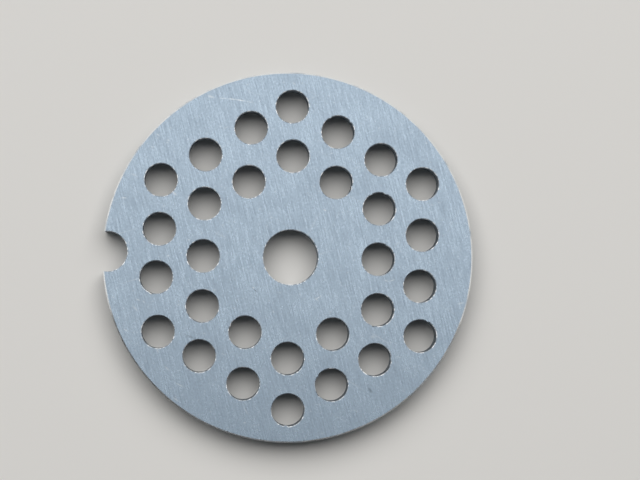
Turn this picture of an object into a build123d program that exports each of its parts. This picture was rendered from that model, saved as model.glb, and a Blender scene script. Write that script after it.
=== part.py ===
from build123d import *
import os

os.makedirs("parts", exist_ok=True)

# A plate for a table meat grinder: one disc of steel, ground flat on both faces and drilled
# through. The knife turns against it and presses the meat out through the small holes.
# Millimetres. The origin is on the bore's axis in the lower face, +Z runs up through the plate
# and the key slot opens towards -X.

# The disc, turned to size. Its rim runs a little off the bore's axis, towards the key slot.
plate_diameter = 54.0
plate_thickness = 4.0
rim_offset = 0.35
rim_break = 0.2

# The bore that runs on the end pin of the feed screw, with its sharp edges just taken off.
bore_diameter = 8.0
bore_break = 0.1

# The meat holes stand in a close-packed pattern round the bore: whole hexagonal rings of it,
# with the inner ones left out, where the knife's hub rubs. The pitch is what lets the outermost
# holes keep a solid land inside the rim. Their edges stay sharp, because they do the cutting.
hole_diameter = 4.8
inner_ring = 2
outer_ring = 3
rim_land = 2.45
pattern_turn = 0.5  # degrees, how far the pattern sits round from the key slot
hole_pitch = (plate_diameter / 2 - rim_land - hole_diameter / 2) / outer_ring

# The key slot, a round-ended cut in the rim for the locating peg of the grinder's mouth.
slot_width = 5.8
slot_depth = 3.6

# The drill wandered on some holes. For each ring: the hole's number, counted anticlockwise from
# the one at +Y, and how far it stands off its place in X and Y.
drill_wander = {
    2: {
        1: (0.05, -0.2),
        2: (0.05, 0.15),
        3: (0.05, -0.1),
        4: (0.1, 0),
        6: (-0.1, 0),
        8: (0.1, 0),
    },
    3: {
        0: (-0.25, -0.15),
        1: (0.2, 0.3),
        2: (0.05, -0.1),
        3: (0.05, -0.25),
        5: (-0.3, 0.35),
        6: (0.15, -0.2),
        7: (-0.2, 0.1),
        8: (-0.1, -0.1),
        9: (0.1, -0.1),
        11: (-0.15, 0.1),
        13: (-0.2, -0.1),
        15: (-0.15, 0.1),
        16: (0.1, -0.2),
        17: (0.1, 0),
    },
}

# Two dents in the rim's upper edge, where the plate was knocked: degrees round the rim from +X.
dent_angles = (162.6, -35.8)
dent_radius = 0.5
dent_depth = 0.15


def ring_centres(ring):
    """Hole centres of one hexagonal ring, anticlockwise from its corner at +Y."""
    corners = [Vector(0, ring * hole_pitch).rotate(Axis.Z, 60 * n + pattern_turn) for n in range(7)]
    return [
        start + (end - start) * (step / ring)
        for start, end in zip(corners, corners[1:])
        for step in range(ring)
    ]


def hole_centres():
    """Centres of all the meat holes, each as the drill left it."""
    centres = []
    for ring in range(inner_ring, outer_ring + 1):
        wander = drill_wander.get(ring, {})
        for number, centre in enumerate(ring_centres(ring)):
            centres.append(centre + Vector(wander.get(number, (0, 0))))
    return centres


with BuildPart() as grinder_plate:
    # Turned blank, with both edges of the rim broken before anything is cut into it.
    with BuildSketch():
        with Locations((-rim_offset, 0)):
            Circle(plate_diameter / 2)
    extrude(amount=plate_thickness)
    chamfer(grinder_plate.edges().filter_by(GeomType.CIRCLE), rim_break)

    # Bore, with a light edge break at each end.
    Hole(bore_diameter / 2)
    bore_wall = grinder_plate.faces().filter_by(GeomType.CYLINDER).sort_by(SortBy.AREA)[0]
    chamfer(bore_wall.edges().filter_by(GeomType.CIRCLE), bore_break)

    # Meat holes, drilled straight through.
    with Locations(*hole_centres()):
        Hole(hole_diameter / 2)

    # Key slot: the cutter's round end, run out through the rim.
    with BuildSketch():
        with Locations((-plate_diameter / 2 - rim_offset + slot_depth - slot_width / 2, 0)):
            Circle(slot_width / 2)
            Rectangle(slot_depth, slot_width, align=(Align.MAX, Align.CENTER))
    extrude(amount=plate_thickness, mode=Mode.SUBTRACT)

    # Dents, each the mark of a small round blow that reaches a little way in from the rim.
    blow_radius = plate_diameter / 2 + dent_radius - dent_depth
    for angle in dent_angles:
        blow = Vector(blow_radius, 0).rotate(Axis.Z, angle) - Vector(rim_offset, 0)
        with Locations(blow + Vector(0, 0, plate_thickness)):
            Sphere(dent_radius, mode=Mode.SUBTRACT)

grinder_plate.part.label = "grinder_plate"
export_step(grinder_plate.part, "parts/grinder_plate.step")
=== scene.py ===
# %% [markdown]
# # A meat grinder plate
# A grinder's feed screw pushes meat against this steel plate, and a turning knife cuts it off where
# it comes out of the holes. The plate is one flat disc: a bore in the middle for the screw's end,
# two rings of holes for the meat, and a slot in the rim for the pin that keeps the plate still.
# We load the measured model first. Everything below is in metres and in its frame: the bore is on
# the Z axis, the plate lies on z = 0, and the slot points along -X.

import math
import random

import bmesh
import bpy
from mathutils import Matrix, Vector


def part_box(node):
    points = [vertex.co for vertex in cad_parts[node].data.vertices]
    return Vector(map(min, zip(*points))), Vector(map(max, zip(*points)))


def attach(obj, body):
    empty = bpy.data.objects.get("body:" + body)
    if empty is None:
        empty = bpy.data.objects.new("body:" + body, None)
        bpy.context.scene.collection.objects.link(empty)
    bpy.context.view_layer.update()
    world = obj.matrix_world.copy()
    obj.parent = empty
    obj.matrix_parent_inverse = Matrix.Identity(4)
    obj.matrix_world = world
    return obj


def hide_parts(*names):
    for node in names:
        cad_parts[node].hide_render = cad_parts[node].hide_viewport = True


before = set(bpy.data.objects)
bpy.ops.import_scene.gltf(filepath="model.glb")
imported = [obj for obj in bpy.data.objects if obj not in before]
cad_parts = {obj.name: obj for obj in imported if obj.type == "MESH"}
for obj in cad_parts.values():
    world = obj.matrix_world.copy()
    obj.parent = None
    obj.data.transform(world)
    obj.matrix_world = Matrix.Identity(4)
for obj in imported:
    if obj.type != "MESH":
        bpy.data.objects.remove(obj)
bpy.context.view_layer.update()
mm = 0.001
plate_low, plate_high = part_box("grinder_plate")
print("measured plate, mm:", [round(v / mm, 2) for v in plate_high - plate_low])

# %% [markdown]
# ## The camera
# A plate like this is looked at from straight above, so that its holes read as circles. A long
# lens (120 mm) from about 0.3 m keeps them so, and its little perspective shows a thin sickle of
# wall in the holes that are far from the camera's foot. The camera leans by one to three degrees.

# %% Place the camera
camera_place = Vector((-10.37, -5.14, 318.65)) * mm
camera_turn = [math.radians(v) for v in (1.333, -2.694, 1.822)]
bpy.ops.object.camera_add(location=camera_place, rotation=camera_turn)
camera = bpy.context.object
camera.name = "camera"
camera.data.sensor_width = 36.0
camera.data.lens = 121.5
camera.data.clip_start = 0.01
camera.data.clip_end = 50.0
bpy.context.scene.camera = camera
bpy.context.scene.view_settings.view_transform = "Standard"
print("camera height over the plate, mm:", round((camera_place.z - plate_high.z) / mm, 1))

# %% [markdown]
# ## A helper for nodes, and one for colours
# Materials and the world are small networks of nodes. One function adds a node: its settings go in
# by name, and each input gets either a number or the output of an earlier node. Colours are written
# as sRGB hex values, as in a paint program, and one function turns them into Blender's linear ones.


# %% Helpers for nodes and colours
def add_node(tree, kind, inputs=None, **settings):
    """Adds one node, with its settings, and fills its inputs with values or with links."""
    node = tree.nodes.new(kind)
    for name, value in settings.items():
        setattr(node, name, value)
    for name, value in (inputs or {}).items():
        if isinstance(value, bpy.types.NodeSocket):
            tree.links.new(value, node.inputs[name])
        else:
            node.inputs[name].default_value = value
    return node


def colour(hex_code):
    """A linear RGBA colour from an sRGB hex value."""
    parts = [int(hex_code[i : i + 2], 16) / 255 for i in (1, 3, 5)]
    linear = [v / 12.92 if v <= 0.04045 else ((v + 0.055) / 1.055) ** 2.4 for v in parts]
    return (*linear, 1.0)


print("mid grey in linear light:", round(colour("#808080")[0], 3))

# %% [markdown]
# ## Selecting by place
# In the window one would click on edges and faces. In code we say where they are. One helper goes
# into edit mode on a single piece, and another selects there each vertex, edge or face that passes
# a test of its place. An operator acts on all that is selected, so we always deselect first.


# %% Helpers for editing
def deselect_all():
    """Leaves edit mode and empties the selection, so that an operator acts on nothing by chance."""
    if bpy.context.object and bpy.context.object.mode == "EDIT":
        bpy.ops.object.mode_set(mode="OBJECT")
    bpy.ops.object.select_all(action="DESELECT")


def edit(piece):
    """Goes into edit mode on this piece alone."""
    deselect_all()
    bpy.context.view_layer.objects.active = piece
    piece.select_set(True)
    bpy.ops.object.mode_set(mode="EDIT")


def pick(piece, kind, test):
    """In edit mode, selects the vertices, edges or faces that pass the test, and counts them."""
    bpy.ops.mesh.select_mode(type=kind)
    bpy.ops.mesh.select_all(action="DESELECT")
    mesh = bmesh.from_edit_mesh(piece.data)
    parts = {"VERT": mesh.verts, "EDGE": mesh.edges, "FACE": mesh.faces}[kind]
    chosen = [part for part in parts if test(part)]
    for part in chosen:
        part.select_set(True)
    mesh.select_flush_mode()
    bmesh.update_edit_mesh(piece.data)
    return len(chosen)


deselect_all()
print("nothing selected:", len(bpy.context.selected_objects) == 0)

# %% [markdown]
# ## Floor and light
# Bare steel has hardly any colour of its own: it shows the room. So the light is a pale room with
# one large soft lamp behind the plate, as a window would be. The camera sees the room as plain
# white. Reflections see it white towards the window and half as bright on the other side, as a
# real room is.

# %% Who sees the pale room, and where
far_side = 0.5  # how white the room is in reflections, on the side away from the window
world = bpy.data.worlds.new("white_room")
bpy.context.scene.world = world
world.use_nodes = True
tree = world.node_tree
tree.nodes.clear()
rays = add_node(tree, "ShaderNodeLightPath")
reflected = add_node(
    tree,
    "ShaderNodeMath",
    {0: rays.outputs["Is Glossy Ray"], 1: rays.outputs["Is Transmission Ray"]},
    operation="ADD",
)
direction = add_node(tree, "ShaderNodeTexCoord")
heading = add_node(tree, "ShaderNodeSeparateXYZ", {0: direction.outputs["Generated"]})
window_side = add_node(
    tree,
    "ShaderNodeMapRange",
    {
        "Value": heading.outputs["Y"],
        "From Min": -0.9,
        "From Max": -0.15,
        "To Min": far_side,
        "To Max": 1.0,
    },
)
in_view = add_node(
    tree,
    "ShaderNodeMath",
    {0: reflected.outputs[0], 1: window_side.outputs[0], 2: rays.outputs["Is Camera Ray"]},
    operation="MULTIPLY_ADD",
    use_clamp=True,
)
print("darkest part of the room in reflections:", far_side)

# %% [markdown]
# Matt things get a small share of the room's light, so that shadows stay. What reaches the floor
# by way of the steel is cut to about a third, because the bright wall of each hole would otherwise
# fill its own shadow.

# %% How much light the room gives
room_fill = 0.06  # the share of full white that lights matt things from all round
by_way_of_steel = 0.35  # the share of a reflection that steel passes on to the floor
passed_on = add_node(
    tree,
    "ShaderNodeMapRange",
    {"Value": rays.outputs["Diffuse Depth"], "To Min": 1.0, "To Max": by_way_of_steel},
)
whiteness = add_node(
    tree, "ShaderNodeMath", {0: in_view.outputs[0], 1: passed_on.outputs[0]}, operation="MULTIPLY"
)
strength = add_node(
    tree,
    "ShaderNodeMapRange",
    {"Value": whiteness.outputs[0], "To Min": room_fill, "To Max": 1.0},
)
room = add_node(
    tree, "ShaderNodeBackground", {"Color": colour("#FFFFFF"), "Strength": strength.outputs[0]}
)
add_node(tree, "ShaderNodeOutputWorld", {"Surface": room.outputs[0]})
print("nodes in the room:", len(tree.nodes))

# %% [markdown]
# The lamp is a soft box two metres wide. It stands behind the plate, a good metre up, and comes in
# low enough to leave in shade what lies on its own side of each hole. It is kept out of
# reflections. Seen in the steel from the far side it would burn out the whole face, and the white
# room already shows there.

# %% The soft lamp
lamp_place = Vector((-0.05, 0.72, 1.11))
bpy.ops.object.light_add(type="AREA", location=lamp_place)
lamp = bpy.context.object
lamp.name = "window_lamp"
lamp.data.shape = "RECTANGLE"
lamp.data.size = 2.0
lamp.data.size_y = 1.25
lamp.data.energy = 22.5
lamp.rotation_euler = (-lamp_place).to_track_quat("-Z", "Y").to_euler()
lamp.visible_glossy = False
print("lamp distance, m:", round(lamp.location.length, 2))

# %% [markdown]
# A second thing shapes metal: what is dark. A studio hangs up cards for that. A grey one beside
# the lens lets the flat face shade off from the lamp's side to the other. A dark band stands close
# round the side that is away from the lamp, and draws thin dark lines on the edges that face it.
# Both are there for reflections alone: the camera doesn't see them, and they throw no shadow. The
# card is a plane that leans towards the plate.

# %% The grey card
bpy.ops.mesh.primitive_plane_add(size=1.0, location=(-0.05, -0.3, 0.95))
card = bpy.context.object
card.name = "grey_card"
card.scale = (2.0, 0.48, 1.0)
card.rotation_euler = (math.radians(17), 0, 0)
bpy.ops.object.transform_apply(location=True, rotation=True, scale=True)
print("card size, m:", [round(v, 2) for v in card.dimensions])

# %% [markdown]
# The band is a strip of a cylinder's wall. The cylinder stands on the floor round the plate,
# without caps, and its faces on the lamp's side are deleted.

# %% The dark band
band_height = 0.013
band_open_from = -0.018  # the band is cut away on the lamp's side of this y
bpy.ops.mesh.primitive_cylinder_add(
    vertices=96,
    radius=0.06,
    depth=band_height,
    location=(0, 0, band_height / 2),
    end_fill_type="NOTHING",
)
band = bpy.context.object
band.name = "dark_band"
bpy.ops.object.transform_apply(location=True, rotation=True, scale=True)
edit(band)
pick(band, "FACE", lambda face: face.calc_center_median().y > band_open_from)
bpy.ops.mesh.delete(type="FACE")
bpy.ops.object.mode_set(mode="OBJECT")
print("band faces left:", len(band.data.polygons))

# %% [markdown]
# Both screens are covered with felt. Felt is matt and swallows most of the light, so that nothing
# but its grey shows in the steel.


# %% Cover the screens with felt
def new_material(name):
    """A material that has no nodes yet."""
    material = bpy.data.materials.new(name)
    material.use_nodes = True
    material.node_tree.nodes.clear()
    return material


for screen, hex_code in ((card, "#8E969F"), (band, "#2A2F35")):
    felt = new_material(screen.name.replace("_", " ") + " felt")
    cloth = add_node(
        felt.node_tree,
        "ShaderNodeBsdfPrincipled",
        {"Base Color": colour(hex_code), "Roughness": 1.0, "Specular IOR Level": 0.1},
    )
    add_node(felt.node_tree, "ShaderNodeOutputMaterial", {"Surface": cloth.outputs[0]})
    screen.data.materials.append(felt)
    screen.visible_camera = False
    screen.visible_diffuse = False
    screen.visible_shadow = False
print("screens for reflections:", card.name, band.name)

# %% [markdown]
# The floor is a board with matt pale paint, which scatters light evenly: it shows soft shadows and
# no gloss. The paint is on its upper side only, so that the plate can be looked at from below.
# There the face of the plate all but touches the board, and would reflect nothing but the dark gap
# between them. So the paint also lets through each ray that has come less than a twentieth of a
# millimetre.

# %% The pale floor
floor_gap = 0.01 * mm
touch = 0.05 * mm
bpy.ops.mesh.primitive_plane_add(size=6.0, location=(0, 0, -floor_gap))
floor = bpy.context.object
floor.name = "floor"
floor_paint = new_material("matt pale floor paint")
tree = floor_paint.node_tree
paint = add_node(
    tree,
    "ShaderNodeBsdfPrincipled",
    {"Base Color": colour("#E9E7E3"), "Roughness": 0.9, "Specular IOR Level": 0.2},
)
seen_from = add_node(tree, "ShaderNodeNewGeometry")
reached_from = add_node(tree, "ShaderNodeLightPath")
touching = add_node(
    tree,
    "ShaderNodeMath",
    {0: reached_from.outputs["Ray Length"], 1: touch},
    operation="LESS_THAN",
)
opened = add_node(
    tree,
    "ShaderNodeMath",
    {0: touching.outputs[0], 1: seen_from.outputs["Backfacing"]},
    operation="MAXIMUM",
)
clear = add_node(tree, "ShaderNodeBsdfTransparent")
one_sided = add_node(
    tree,
    "ShaderNodeMixShader",
    {0: opened.outputs[0], 1: paint.outputs[0], 2: clear.outputs[0]},
)
add_node(tree, "ShaderNodeOutputMaterial", {"Surface": one_sided.outputs[0]})
floor.data.materials.append(floor_paint)
print("floor size, m:", floor.dimensions.x)

# %% [markdown]
# ## The sizes of the plate
# The plate was turned, drilled, slotted and then ground flat, and we model it in the same order.
# The sizes are those of the measured model. The 30 meat holes are close-packed: they sit on the
# rings of a hexagonal lattice, the second ring with 12 holes and the third with 18.

# %% Sizes
plate_thickness = 4.0 * mm
plate_radius = 27.0 * mm
rim_centre = Vector((-0.35, 0.0, 0.0)) * mm
rim_break = 0.2 * mm
bore_radius = 4.0 * mm
hole_radius = 2.4 * mm
hole_pitch = 7.3833 * mm
pattern_turn = math.radians(0.5)
slot_radius = 2.9 * mm
slot_centre = Vector((-26.65, 0.0, 0.0)) * mm
print("steel between two holes, mm:", round((hole_pitch - 2 * hole_radius) / mm, 2))

# %% [markdown]
# A drill that nothing guides starts a little beside its mark. In the outer ring it wandered by up
# to half a millimetre, which is enough to see. So each such hole has a small step aside: its
# number in its ring, and how many millimetres it is off in X and in Y.

# %% How far the drill wandered
drill_wander = {
    2: {
        1: (0.05, -0.2),
        2: (0.05, 0.15),
        3: (0.05, -0.1),
        4: (0.1, 0.0),
        6: (-0.1, 0.0),
        8: (0.1, 0.0),
    },
    3: {
        0: (-0.25, -0.15),
        1: (0.2, 0.3),
        2: (0.05, -0.1),
        3: (0.05, -0.25),
        5: (-0.3, 0.35),
        6: (0.15, -0.2),
        7: (-0.2, 0.1),
        8: (-0.1, -0.1),
        9: (0.1, -0.1),
        11: (-0.15, 0.1),
        13: (-0.2, -0.1),
        15: (-0.15, 0.1),
        16: (0.1, -0.2),
        17: (0.1, 0.0),
    },
}
print("holes off their place:", sum(len(wanders) for wanders in drill_wander.values()))

# %% [markdown]
# A ring of the lattice is a hexagon, and its holes divide each side into equal steps. So we turn
# one spoke to the six corners, and step from each corner to the next.


# %% Hole places
def ring_centres(ring):
    """The lattice points of one hexagonal ring, anticlockwise from +Y."""
    spoke = Vector((0.0, ring * hole_pitch, 0.0))
    turns = [math.radians(60 * n) + pattern_turn for n in range(7)]
    corners = [Matrix.Rotation(turn, 3, "Z") @ spoke for turn in turns]
    sides = zip(corners, corners[1:])
    return [start.lerp(end, step / ring) for start, end in sides for step in range(ring)]


hole_centres = []
ring_start = {}  # where each ring begins in the list
for ring, wanders in drill_wander.items():
    ring_start[ring] = len(hole_centres)
    for number, centre in enumerate(ring_centres(ring)):
        wander = wanders.get(number, (0.0, 0.0))
        hole_centres.append(centre + Vector((*wander, 0.0)) * mm)
print("meat holes:", len(hole_centres))

# %% [markdown]
# ## The turned blank
# The blank is a disc cut from bar and turned to fit its housing. Its sharp rims were broken with
# a light chamfer, which shows as the thin bright line round the plate. A cylinder with many sides
# gives a smooth outline, and a bevel of one step cuts the chamfer on both rims.

# %% Model the blank
plate_sides = 288
bpy.ops.mesh.primitive_cylinder_add(
    vertices=plate_sides,
    radius=plate_radius,
    depth=plate_thickness,
    location=rim_centre + Vector((0, 0, plate_thickness / 2)),
)
plate = bpy.context.object
plate.name = "ground_plate"
bpy.ops.object.transform_apply(location=True, rotation=True, scale=True)
edit(plate)
# the edges that run level are the two rims, and the others stand upright between them
rims = pick(
    plate,
    "EDGE",
    lambda edge: abs(edge.verts[0].co.z - edge.verts[1].co.z) < plate_thickness / 2,
)
bpy.ops.mesh.bevel(offset=rim_break, offset_type="OFFSET", segments=1, profile=0.5, affect="EDGES")
bpy.ops.object.mode_set(mode="OBJECT")
print("rim edges bevelled:", rims)

# %% [markdown]
# ## The cutting tools
# Each tool is a cylinder that flares a little where it passes the two faces of the plate. Cutting
# with it leaves a hole whose edges are already broken, as a deburring pass leaves them, and the
# mesh round the hole stays tidy. Bisect adds the rings of the flare, and resize opens them.


# %% Model a cutting tool
overshoot = 1 * mm  # how far a tool stands out of each face
hole_break = 0.09 * mm
# height over the face and how much wider the tool is there, both in shares of the edge break
plain_flare = [(0.4, 1.6), (-1.0, 0.0)]


def make_tool(name, radius, sides, edge_break, flare):
    """A cylinder through the plate that flares at both of its faces."""
    deselect_all()
    bpy.ops.mesh.primitive_cylinder_add(
        vertices=sides,
        radius=radius,
        depth=plate_thickness + 2 * overshoot,
        location=(0, 0, plate_thickness / 2),
    )
    tool = bpy.context.object
    tool.name = name
    bpy.ops.object.transform_apply(location=True, rotation=True, scale=True)
    edit(tool)
    rings = [
        (face + up * rise * edge_break, (radius + widen * edge_break) / radius)
        for rise, widen in flare
        for face, up in ((plate_thickness, 1), (0.0, -1))
    ]
    for height, grow in rings:
        bpy.ops.mesh.select_all(action="SELECT")
        bpy.ops.mesh.bisect(plane_co=(0, 0, height), plane_no=(0, 0, 1))
    # the innermost rings keep the tool's own width, and the others are opened
    for height, grow in rings:
        if grow > 1:
            pick(tool, "VERT", lambda v: abs(v.co.z - height) < 0.1 * edge_break)
            bpy.ops.transform.resize(value=(grow, grow, 1), center_override=(0, 0, 0))
    # the tool's two ends get the width of its outermost rings
    half = plate_thickness / 2
    pick(tool, "VERT", lambda v: abs(v.co.z - half) > half + overshoot / 2)
    grow = rings[0][1]
    bpy.ops.transform.resize(value=(grow, grow, 1), center_override=(0, 0, 0))
    bpy.ops.object.mode_set(mode="OBJECT")
    return tool


drill_sides = 60
drill = make_tool("drill", hole_radius, drill_sides, hole_break, plain_flare)
print("drill rings:", len(drill.data.vertices) // drill_sides)

# %% [markdown]
# All the meat holes were drilled with one drill, so it is modelled once and copied to each place.
# Each copy is turned at random, or the corners of its sides would glint at the same spots of every
# hole. The seed makes the turns the same on each run. Joined, the drills make all the holes in one
# cut.

# %% Copy the drill to every hole
random.seed(5)
copies = []
for centre in hole_centres:
    deselect_all()
    bpy.context.view_layer.objects.active = drill
    drill.select_set(True)
    bpy.ops.object.duplicate()
    copy = bpy.context.object
    copy.location = centre
    copy.rotation_euler.z = random.uniform(0, math.tau)
    copies.append(copy)
bpy.data.objects.remove(drill, do_unlink=True)
deselect_all()
for copy in copies:
    copy.select_set(True)
bpy.context.view_layer.objects.active = copies[0]
bpy.ops.object.join()
drills = bpy.context.object
bpy.ops.object.transform_apply(location=True, rotation=True, scale=True)
print("drill faces:", len(drills.data.polygons))

# %% [markdown]
# The screw's pin runs in the bore, so the bore is reamed: a straight cutter follows the drill and
# leaves a rounder, smoother hole. It is the same kind of tool with more sides, because the larger
# circle would show its corners sooner.

# %% The bore's reamer
reamer = make_tool("reamer", bore_radius, 96, hole_break, plain_flare)
print("reamer faces:", len(reamer.data.polygons))

# %% [markdown]
# The slot is milled from the rim inwards with a round cutter, so it is a U with parallel sides.
# We take a round tool to the slot's end and draw its outer half out past the rim. Its flare has a
# third ring, which shows a habit of bisect: a cut that comes within a tenth of a millimetre of an
# older ring is taken for that ring. So the third ring is left out at the upper face, and at the
# lower face it takes the place of the innermost one.

# %% The slot's milling cutter
past_the_rim = 4 * mm
slot_break = 0.1 * mm
slot_flare = [(0.4, 1.6), (-0.6, 0.13), (-1.0, 0.0)]
mill = make_tool("mill", slot_radius, 80, slot_break, slot_flare)
edit(mill)
off_middle = 0.01 * mm
outer = pick(mill, "VERT", lambda v: v.co.x < -off_middle)
bpy.ops.transform.translate(value=(-past_the_rim, 0, 0))
bpy.ops.object.mode_set(mode="OBJECT")
mill.location = slot_centre
bpy.ops.object.transform_apply(location=True, rotation=True, scale=True)
print("vertices drawn outwards:", outer)

# %% [markdown]
# Now the tools cut. A boolean takes a tool's volume out of the plate, and the tool is thrown away.
# The exact solver is the slower one, and it is chosen because it copes with the narrow faces of
# the flares.


# %% Cut the holes, the bore and the slot
def cut(piece, tool):
    """Takes the tool's volume out of the piece and throws the tool away."""
    deselect_all()
    bpy.context.view_layer.objects.active = piece
    piece.select_set(True)
    bpy.ops.object.modifier_add(type="BOOLEAN")
    boolean = piece.modifiers[-1]
    boolean.operation = "DIFFERENCE"
    boolean.solver = "EXACT"
    boolean.object = tool
    bpy.ops.object.modifier_apply(modifier=boolean.name)
    bpy.data.objects.remove(tool, do_unlink=True)


for tool in (drills, reamer, mill):
    cut(plate, tool)
print("faces after cutting:", len(plate.data.polygons))

# %% [markdown]
# ## Burrs, chips and wear
# The drill pushed a flake of steel over the edge of some holes, and other edges have lost a crumb.
# Each is a pull on the few edge points near one spot: towards the hole's axis for a burr, away
# from it for a chip. All pulls are level, so the ground face stays flat.

# %% Pull the burrs and chips
edge_faults = [  # ring, number in the ring, angle in degrees, pull towards the axis in mm
    (2, 3, 153, 0.12),
    (2, 5, 127, 0.1),
    (2, 5, 158, 0.12),
    (2, 8, 255, -0.12),
    (2, 9, 58, 0.1),
    (2, 10, 70, 0.12),
    (2, 10, 119, 0.12),
    (2, 11, -14, 0.12),
    (3, 5, 255, -0.1),
    (3, 9, 265, 0.14),
    (3, 10, 150, 0.12),
    (3, 10, 219, -0.1),
    (3, 11, 5, 0.1),
    (3, 11, -17, 0.12),
    (3, 12, 66, 0.12),
    (3, 17, 40, 0.16),
    (3, 17, 120, 0.12),
]
fault_size = 0.2 * mm


def level_way(angle):
    """The level direction at this angle in degrees, anticlockwise from +X."""
    return Vector((math.cos(math.radians(angle)), math.sin(math.radians(angle)), 0.0))


edit(plate)
for ring, number, angle, pull in edge_faults:
    way = level_way(angle)
    centre = hole_centres[ring_start[ring] + number]
    spot = centre + way * hole_radius + Vector((0.0, 0.0, plate_thickness))
    pick(plate, "VERT", lambda v: (v.co - spot).length < fault_size)
    bpy.ops.transform.translate(value=-way * pull * mm)
print("burrs and chips:", len(edge_faults))

# %% [markdown]
# The knife and every cleaning wear the edges. A very small random shake of the points just below
# the two faces makes them glint unevenly, as worn edges do.

# %% Wear the edges
wear_from, wear_to = 0.01 * mm, 0.19 * mm  # depth below the nearer face
shake = 0.012 * mm
worn_points = pick(
    plate, "VERT", lambda v: wear_from < min(v.co.z, plate_thickness - v.co.z) < wear_to
)
bpy.ops.transform.vertex_random(offset=shake, seed=3)
bpy.ops.object.mode_set(mode="OBJECT")
print("worn points:", worn_points)

# %% [markdown]
# ## Knocks in the rim
# Where the plate was dropped or levered out of its ring, the rim has two small nicks. Each is the
# bite of a small ball into the rim's upper edge.

# %% Nick the rim
knock_angles = (162.6, -35.8)
knock_radius = 0.5 * mm
knock_depth = 0.15 * mm
reach = plate_radius + knock_radius - knock_depth
for angle in knock_angles:
    deselect_all()
    bpy.ops.mesh.primitive_ico_sphere_add(
        subdivisions=3,
        radius=knock_radius,
        location=rim_centre + level_way(angle) * reach + Vector((0, 0, plate_thickness)),
    )
    cut(plate, bpy.context.object)
print("faces after knocks:", len(plate.data.polygons))

# %% [markdown]
# ## Smooth shading
# The sides of the circles are shaded smooth. A plate also has to look dead flat up to its edges, so
# weighted normals let the large flat faces win over the narrow bevels beside them.

# %% Shade the plate
sharp_from = math.radians(38)  # edges that turn by more than this stay sharp
same_point = 0.0005 * mm
edit(plate)
bpy.ops.mesh.select_all(action="SELECT")
bpy.ops.mesh.remove_doubles(threshold=same_point)
bpy.ops.mesh.normals_make_consistent(inside=False)
bpy.ops.object.mode_set(mode="OBJECT")
bpy.ops.object.shade_smooth_by_angle(angle=sharp_from)
bpy.ops.object.modifier_add(type="WEIGHTED_NORMAL")
weighted = plate.modifiers[-1]
weighted.mode = "FACE_AREA"
weighted.weight = 80
weighted.keep_sharp = True
bpy.ops.object.modifier_apply(modifier=weighted.name)
print("plate size, mm:", [round(v / mm, 2) for v in plate.dimensions])

# %% [markdown]
# ## Ground stainless steel
# Both faces were ground flat with a turning stone, which leaves fine parallel lines. They scatter
# light across their run, so the face is bright and satin and never a mirror. Real lines are about
# a tenth of a millimetre apart. Here they are drawn twice as coarse, or a picture of the whole
# plate wouldn't show them. A slow bend of a fraction of a millimetre keeps them from running
# ruler-straight.

# %% The bent lines of the stone
steel = new_material("ground stainless steel")
tree = steel.node_tree
grind_turn = math.radians(106)
place = add_node(tree, "ShaderNodeTexCoord")
drift = add_node(
    tree, "ShaderNodeTexNoise", {"Vector": place.outputs["Object"], "Scale": 40.0, "Detail": 0.0}
)
both_ways = add_node(
    tree,
    "ShaderNodeVectorMath",
    {0: drift.outputs["Color"], 1: (0.5, 0.5, 0.5)},
    operation="SUBTRACT",
)
bend = add_node(
    tree, "ShaderNodeVectorMath", {0: both_ways.outputs[0], "Scale": 0.3 * mm}, operation="SCALE"
)
bent = add_node(
    tree, "ShaderNodeVectorMath", {0: bend.outputs[0], 1: place.outputs["Object"]}, operation="ADD"
)
print("lines run at, degrees:", round(math.degrees(grind_turn)))

# %% [markdown]
# Four noises make the grain: the lines, the grit that broke off between them, long streaks, and a
# slow mottle where the stone cut a little harder. A Mapping node stretches each to its own length
# and width and lays it along the lines. They are added up by share, round zero.

# %% The grain of the ground faces
grain_sizes = {  # length and width in mm, and share of the grain
    "lines": (3.0, 0.2, 0.75),
    "grit": (0.32, 0.28, 0.6),
    "streaks": (7.0, 0.5, 0.15),
    "mottle": (5.0, 4.0, 0.3),
}
grain = None
for length, width, share in grain_sizes.values():
    along = add_node(
        tree,
        "ShaderNodeMapping",
        {
            "Vector": bent.outputs[0],
            "Rotation": (0.0, 0.0, grind_turn),
            "Scale": (length * mm, width * mm, 1.0 * mm),
        },
        vector_type="TEXTURE",
    )
    noise = add_node(
        tree, "ShaderNodeTexNoise", {"Vector": along.outputs[0], "Scale": 1.0, "Detail": 2.0}
    )
    centred = add_node(
        tree, "ShaderNodeMath", {0: noise.outputs["Fac"], 1: 0.5}, operation="SUBTRACT"
    )
    grain = add_node(
        tree,
        "ShaderNodeMath",
        {0: centred.outputs[0], 1: share, 2: grain.outputs[0] if grain else 0.0},
        operation="MULTIPLY_ADD",
    )
print("grain layers:", list(grain_sizes))
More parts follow.
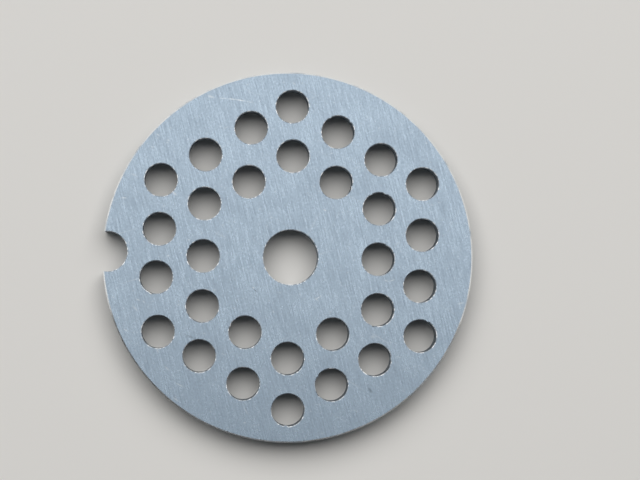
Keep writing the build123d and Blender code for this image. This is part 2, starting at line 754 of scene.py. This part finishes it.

# %% [markdown]
# Loose grit, knocks and other tools leave marks across the grain. Tiny specks are painted near
# white as glints where grit bit in, which a fine noise gives when only its peaks are kept. Thin
# hairlines run in a few directions of their own: each is a noise drawn out to a thread, of which
# again only the peaks stay. They too are painted near white: real scratches with a painted
# highlight.

# %% Specks and hairlines
speck_noise = add_node(
    tree,
    "ShaderNodeTexNoise",
    {"Vector": place.outputs["Object"], "Scale": 1 / (0.42 * mm), "Detail": 1.0},
)
speck_glints = add_node(
    tree,
    "ShaderNodeMapRange",
    {"Value": speck_noise.outputs["Fac"], "From Min": 0.68, "From Max": 0.9, "To Max": 0.5},
)
hairlines = ((18, 9.0, 0.22), (64, 12.0, 0.2), (151, 7.0, 0.24))  # degrees, length, width in mm
fine_marks_and_glints = speck_glints
for turn, length, width in hairlines:
    along = add_node(
        tree,
        "ShaderNodeMapping",
        {
            "Vector": bent.outputs[0],
            "Rotation": (0.0, 0.0, math.radians(turn)),
            "Scale": (length * mm, width * mm, 5.0 * mm),
        },
        vector_type="TEXTURE",
    )
    noise = add_node(
        tree, "ShaderNodeTexNoise", {"Vector": along.outputs[0], "Scale": 1.0, "Detail": 0.0}
    )
    thread = add_node(
        tree,
        "ShaderNodeMapRange",
        {"Value": noise.outputs["Fac"], "From Min": 0.78, "From Max": 0.94, "To Max": 0.3},
    )
    fine_marks_and_glints = add_node(
        tree,
        "ShaderNodeMath",
        {0: fine_marks_and_glints.outputs[0], 1: thread.outputs[0]},
        operation="MAXIMUM",
    )
print("nodes so far:", len(tree.nodes))

# %% [markdown]
# Last come the single marks of this plate: scratches, scuffs and a few dark stains. The scratches
# and scuffs are real marks painted near white, which is a painted highlight. Each is a soft ellipse
# between two points on the upper face. A long curved scratch is a chain of them.

# %% The single marks
marks = [  # from, to, half width in mm, strength; below zero is dark
    ((-24.91, 7.85), (-24.07, 7.85), 0.12, 1.0),
    ((-11.34, 22.87), (-9.83, 22.83), 0.12, 0.5),
    ((-9.9, 22.84), (-8.5, 22.71), 0.13, 0.9),
    ((-8.9, 22.76), (-7.2, 22.54), 0.13, 1.0),
    ((-7.5, 22.6), (-5.9, 22.28), 0.1, 0.5),
    ((-12.83, 23.14), (-11.89, 22.9), 0.22, 0.7),
    ((-23.64, 11.41), (-22.7, 11.08), 0.18, 0.4),
    ((-17.55, 9.03), (-16.88, 8.5), 0.2, 0.7),
    ((-20.05, 17.31), (-19.67, 17.05), 0.14, 0.6),
    ((-18.5, 16.5), (-18.2, 16.4), 0.14, 0.6),
    ((-10.43, 18.39), (-9.61, 18.79), 0.12, 0.35),
    ((-0.52, 25.55), (-0.09, 25.2), 0.12, 0.6),
    ((3.62, -6.13), (4.72, -5.44), 0.1, 0.8),
    ((3.71, -5.75), (4.28, -6.29), 0.1, 0.7),
    ((13.69, -2.86), (14.44, -3.09), 0.1, 0.7),
    ((14.4, -3.09), (15.36, -2.74), 0.1, 0.7),
    ((4.6, 7.12), (4.98, 6.95), 0.14, 0.8),
    ((-5.4, -4.6), (-5.2, -4.6), 0.13, 0.9),
    ((-5.23, -4.84), (-4.75, -5.2), 0.13, -0.6),
    ((-2.36, -7.89), (-2.17, -8.16), 0.12, 0.7),
    ((15.03, 2.06), (15.93, 2.84), 0.1, 0.4),
    ((-17.93, -0.35), (-17.73, -0.35), 0.16, 0.7),
    ((-10.54, 3.06), (-9.4, 2.54), 0.1, 0.35),
    ((-15.0, 2.07), (-14.8, 2.07), 0.13, 0.6),
    ((-22.16, -6.79), (-21.73, -6.98), 0.15, 0.7),
    ((-21.24, -7.03), (-21.02, -7.3), 0.15, 0.6),
    ((-22.81, -7.71), (-21.95, -8.51), 0.2, 0.5),
    ((-11.1, -5.11), (-10.7, -5.11), 0.16, 0.5),
    ((-16.38, -20.93), (-15.63, -21.37), 0.16, 0.7),
    ((-16.27, -18.71), (-14.76, -19.4), 0.12, 0.6),
    ((-23.91, -11.17), (-23.26, -11.52), 0.16, 0.5),
    ((-6.16, -21.92), (-5.37, -23.21), 0.13, 0.5),
    ((-17.82, -16.35), (-17.06, -17.06), 0.13, 0.6),
    ((-19.03, -13.61), (-18.81, -14.53), 0.18, 0.5),
    ((-6.0, -24.24), (-5.8, -24.24), 0.14, 0.8),
    ((12.1, -11.2), (12.7, -11.2), 0.3, 0.4),
    ((24.67, -6.02), (25.5, -5.82), 0.2, 0.6),
    ((11.93, -18.64), (12.46, -19.3), 0.25, -0.5),
    ((-14.83, -11.81), (-13.52, -12.24), 0.25, -0.4),
]
print("single marks:", len(marks))

# %% [markdown]
# A spherical gradient is one in its middle and fades to nothing at its edge. A Mapping node lays
# it on each mark, turned and stretched to it, and so thin in height that the underside stays free.
# Where bright marks cross, the brighter one is kept. Stains add up.

# %% Draw the marks
mark_strength = 0.9
marks_and_highlights = fine_marks_and_glints
dark_marks = None
for tail, tip, half_width, strength in marks:
    start, end = Vector(tail), Vector(tip)
    way = end - start
    ellipse = add_node(
        tree,
        "ShaderNodeMapping",
        {
            "Vector": place.outputs["Object"],
            "Location": ((start.x + end.x) / 2 * mm, (start.y + end.y) / 2 * mm, plate_thickness),
            "Rotation": (0.0, 0.0, math.atan2(way.y, way.x)),
            "Scale": ((way.length / 2 + half_width) * mm, half_width * mm, 0.5 * mm),
        },
        vector_type="TEXTURE",
    )
    spot = add_node(
        tree, "ShaderNodeTexGradient", {"Vector": ellipse.outputs[0]}, gradient_type="SPHERICAL"
    )
    if strength > 0:
        bright = add_node(
            tree,
            "ShaderNodeMath",
            {0: spot.outputs["Fac"], 1: mark_strength * strength},
            operation="MULTIPLY",
        )
        marks_and_highlights = add_node(
            tree,
            "ShaderNodeMath",
            {0: bright.outputs[0], 1: marks_and_highlights.outputs[0]},
            operation="MAXIMUM",
        )
    else:
        dark_marks = add_node(
            tree,
            "ShaderNodeMath",
            {0: spot.outputs["Fac"], 1: -strength, 2: dark_marks.outputs[0] if dark_marks else 0.0},
            operation="MULTIPLY_ADD",
        )
print("nodes with the marks:", len(tree.nodes))

# %% [markdown]
# Now the layers meet. The grain moves the colour between two cool greys. Their blue is painted: it
# stands in for the cool light that bare steel reflects. Marks pull the colour towards white, as a
# painted highlight, or towards dark, as stains.

# %% The colour of the ground steel
steel_tone = add_node(
    tree,
    "ShaderNodeMapRange",
    {"Value": grain.outputs[0], "From Min": -0.58, "From Max": 0.58},
)
grain_colour = add_node(
    tree,
    "ShaderNodeMix",
    {0: steel_tone.outputs[0], 6: colour("#8B9CAD"), 7: colour("#D7EAFA")},
    data_type="RGBA",
)
scratch_and_highlight_colour = add_node(
    tree,
    "ShaderNodeMix",
    {0: marks_and_highlights.outputs[0], 6: grain_colour.outputs[2], 7: colour("#F2F8FC")},
    data_type="RGBA",
)
steel_colour = add_node(
    tree,
    "ShaderNodeMix",
    {0: dark_marks.outputs[0], 6: scratch_and_highlight_colour.outputs[2], 7: colour("#4A545E")},
    data_type="RGBA",
)
print("nodes with the colour:", len(tree.nodes))

# %% [markdown]
# The same grain drives roughness, and a bump of a few thousandths of a millimetre into which the
# marks are cut, so that the lines catch the window as the plate is turned. All the steels of the
# plate end alike, in a bare metal shader, so one helper closes them. A metal keeps the default
# IOR: its colour says how it reflects.


# %% Put the ground steel together
def finish_steel(tree, tone, roughness, height, depth):
    """Ends a steel: bare metal with this colour, roughness and relief of this depth."""
    relief = add_node(
        tree, "ShaderNodeBump", {"Height": height, "Strength": 1.0, "Distance": depth}
    )
    shader = add_node(
        tree,
        "ShaderNodeBsdfPrincipled",
        {
            "Base Color": tone,
            "Metallic": 1.0,
            "Roughness": roughness,
            "Normal": relief.outputs[0],
        },
    )
    add_node(tree, "ShaderNodeOutputMaterial", {"Surface": shader.outputs[0]})


steel_roughness = add_node(
    tree, "ShaderNodeMath", {0: grain.outputs[0], 1: -0.25, 2: 0.3}, operation="MULTIPLY_ADD"
)
steel_height = add_node(
    tree,
    "ShaderNodeMath",
    {0: marks_and_highlights.outputs[0], 1: -0.5, 2: grain.outputs[0]},
    operation="MULTIPLY_ADD",
)
finish_steel(
    tree,
    steel_colour.outputs[2],
    steel_roughness.outputs[0],
    steel_height.outputs[0],
    0.006 * mm,
)
print("nodes in the ground steel:", len(tree.nodes))

# %% [markdown]
# ## Worn edges, with painted highlights and glints
# The chamfer of the rim is polished by wear: hands and cloths rub it at every cleaning, so it is
# smooth, with duller stretches a few millimetres long. Its bright stretches are painted near white,
# brighter than bare steel reflects, so they are partly a painted highlight. The edges of the holes
# are sharper, and burred: the knife drags small burrs over them. Their glints are painted, as
# near-white points less than a millimetre long that the noise places. Both are one noise, at two
# sizes, that is cut off below and above. The blue in their greys is painted too: it stands in for
# the cool light that the steel reflects.

# %% The two worn edges
edge_steels = []
for name, patch_size, dull_below, bright_above, dark, light in (
    ("steel polished by wear", 2.5, 0.3, 0.52, "#B8C3CD", "#F8FBFD"),
    ("burred edge steel", 0.5, 0.48, 0.6, "#A2AEB9", "#F8FBFD"),
):
    edge_steel = new_material(name)
    tree = edge_steel.node_tree
    place = add_node(tree, "ShaderNodeTexCoord")
    wear = add_node(
        tree,
        "ShaderNodeTexNoise",
        {"Vector": place.outputs["Object"], "Scale": 1 / (patch_size * mm), "Detail": 3.0},
    )
    share = add_node(
        tree,
        "ShaderNodeMapRange",
        {"Value": wear.outputs["Fac"], "From Min": dull_below, "From Max": bright_above},
    )
    # the near-white patches are painted highlights on the rim's chamfer and painted glints on the
    # hole edges
    wear_and_glint_colour = add_node(
        tree,
        "ShaderNodeMix",
        {0: share.outputs[0], 6: colour(dark), 7: colour(light)},
        data_type="RGBA",
    )
    wear_roughness = add_node(
        tree, "ShaderNodeMapRange", {"Value": share.outputs[0], "To Min": 0.36, "To Max": 0.2}
    )
    finish_steel(
        tree,
        wear_and_glint_colour.outputs[2],
        wear_roughness.outputs[0],
        wear.outputs["Fac"],
        0.02 * mm,
    )
    edge_steels.append(edge_steel)
print("worn steels:", [edge_steel.name for edge_steel in edge_steels])

# %% [markdown]
# ## Drilled walls and the turned rim
# A drill leaves rings round the wall of its hole, and a lathe leaves rings round the rim. Neither
# was ground, and old grease stays in them, so both are darker and duller than the faces. The rings
# run level, so their noise is fine along Z and long in the other two directions. Real ones are a
# few hundredths of a millimetre apart. They are drawn several times as coarse, so that they show.

# %% Rings and grease
dull_patterns = {}
for name, ring_size, ring_length, grease_size in (
    ("drilled steel", 0.14, 1.6, 0.5),
    ("turned steel", 0.25, 9.0, 2.0),
):
    dull_steel = new_material(name)
    tree = dull_steel.node_tree
    place = add_node(tree, "ShaderNodeTexCoord")
    along = add_node(
        tree,
        "ShaderNodeMapping",
        {
            "Vector": place.outputs["Object"],
            "Scale": (ring_length * mm, ring_length * mm, ring_size * mm),
        },
        vector_type="TEXTURE",
    )
    rings = add_node(
        tree, "ShaderNodeTexNoise", {"Vector": along.outputs[0], "Scale": 1.0, "Detail": 3.0}
    )
    grease = add_node(
        tree,
        "ShaderNodeTexNoise",
        {"Vector": place.outputs["Object"], "Scale": 1 / (grease_size * mm), "Detail": 3.0},
    )
    greasy_rings = add_node(
        tree,
        "ShaderNodeMath",
        {0: rings.outputs["Fac"], 1: grease.outputs["Fac"]},
        operation="MULTIPLY",
    )
    dull_patterns[name] = (dull_steel, rings, greasy_rings)
print("patterns:", list(dull_patterns))

# %% [markdown]
# Rings and grease are multiplied, so where either is dark, the steel is dark, and duller too. The
# rings alone make the relief. The walls of the holes are the darkest, because nothing wipes them.

# %% The two darker steels
dull_steels = []
# the blue in these greys is painted: it stands in for the cool light that the steel reflects
for name, dark, light, gloss in (
    ("drilled steel", "#56606A", "#9CA8B2", 0.42),
    ("turned steel", "#7A858F", "#B2BDC7", 0.38),
):
    dull_steel, rings, greasy_rings = dull_patterns[name]
    tree = dull_steel.node_tree
    tone = add_node(
        tree,
        "ShaderNodeMapRange",
        {"Value": greasy_rings.outputs[0], "From Min": 0.15, "From Max": 0.38},
    )
    dull_colour = add_node(
        tree,
        "ShaderNodeMix",
        {0: tone.outputs[0], 6: colour(dark), 7: colour(light)},
        data_type="RGBA",
    )
    dull_roughness = add_node(
        tree,
        "ShaderNodeMapRange",
        {"Value": tone.outputs[0], "To Min": gloss + 0.2, "To Max": gloss},
    )
    finish_steel(
        tree,
        dull_colour.outputs[2],
        dull_roughness.outputs[0],
        rings.outputs["Fac"],
        0.015 * mm,
    )
    dull_steels.append(dull_steel)
print("darker steels:", [dull_steel.name for dull_steel in dull_steels])

# %% [markdown]
# ## Give each surface its steel
# A face that looks straight up or down is ground. One that leans is a broken edge. One that stands
# is the rim if it is far enough from the middle of the plate, and otherwise the wall of a hole.

# %% Tell the surfaces apart
level_from = 0.98  # how far a ground face's normal points up or down, at least
upright_to = 0.1  # and a wall's, at most
rim_from = plate_radius - 1.2 * rim_break


def lean(face):
    """How far a face looks up or down: 1 for a level one and 0 for an upright one."""
    return abs(face.normal.z)


def at_rim(face):
    """Whether a face is part of the rim, and not of a hole."""
    return (face.calc_center_median() - rim_centre).xy.length > rim_from


surfaces = {  # in the order of the steels
    "ground": lambda face: lean(face) > level_from,
    "chamfer": lambda face: upright_to < lean(face) <= level_from and at_rim(face),
    "hole edges": lambda face: upright_to < lean(face) <= level_from and not at_rim(face),
    "hole walls": lambda face: lean(face) <= upright_to and not at_rim(face),
    "rim": lambda face: lean(face) <= upright_to and at_rim(face),
}
print("surfaces:", list(surfaces))

# %% [markdown]
# Each steel gets a slot on the plate, and each group of faces the slot with its number. That is
# what the Assign button does in the window.

# %% Assign the materials
plate.data.materials.clear()
for material in (steel, *edge_steels, *dull_steels):
    plate.data.materials.append(material)
edit(plate)
for number, (name, test) in enumerate(surfaces.items()):
    count = pick(plate, "FACE", test)
    plate.active_material_index = number
    bpy.ops.object.material_slot_assign()
    print(name, "faces:", count)
bpy.ops.object.mode_set(mode="OBJECT")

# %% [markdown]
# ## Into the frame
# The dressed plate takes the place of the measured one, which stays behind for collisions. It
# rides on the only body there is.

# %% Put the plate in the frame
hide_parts("grinder_plate")
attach(plate, "root")
print("in the frame:", plate.name, "with faces:", len(plate.data.polygons))
